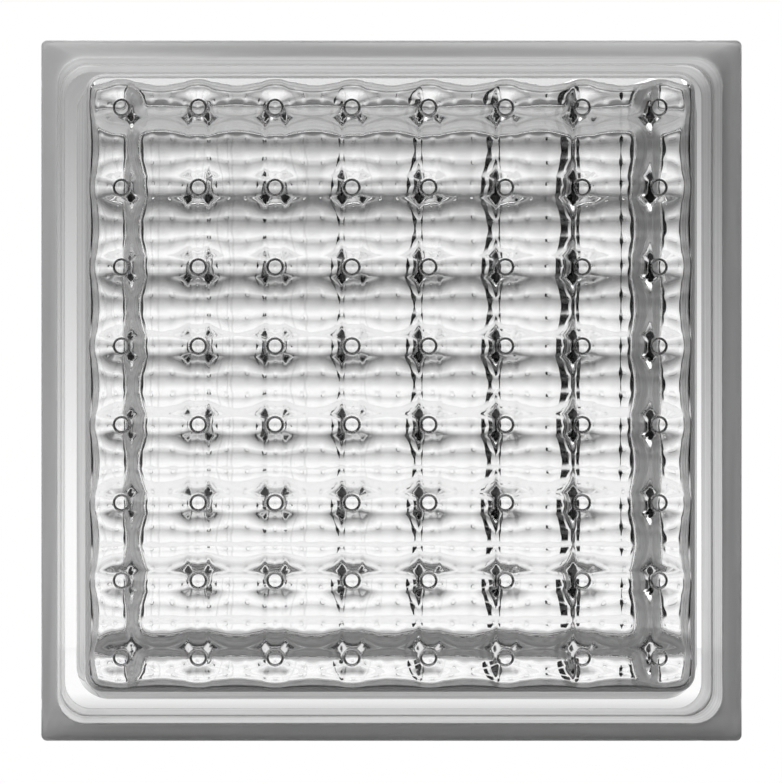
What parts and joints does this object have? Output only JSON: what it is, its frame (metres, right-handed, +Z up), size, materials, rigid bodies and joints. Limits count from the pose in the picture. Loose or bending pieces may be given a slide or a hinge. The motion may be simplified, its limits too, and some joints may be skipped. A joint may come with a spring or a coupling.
{
  "type": "glass block",
  "caption": "Square hollow glass block with flat outer faces, crossed flutes and small round bosses inside, and keyed mortar edges round a fused seam.",
  "frame": {"origin": "under the middle of the block, on the plane of its lower lips, at mid-depth", "axes": "+Z up, +X along the width of the face, +Y through the block from its front face to its back face"},
  "size_m": [0.19, 0.08, 0.19],
  "materials": {
    "glass": "fire-polished clear pressed glass"
  },
  "bodies": {
    "root": {"front_half": "glass", "back_half": "glass"}
  },
  "joints": []
}
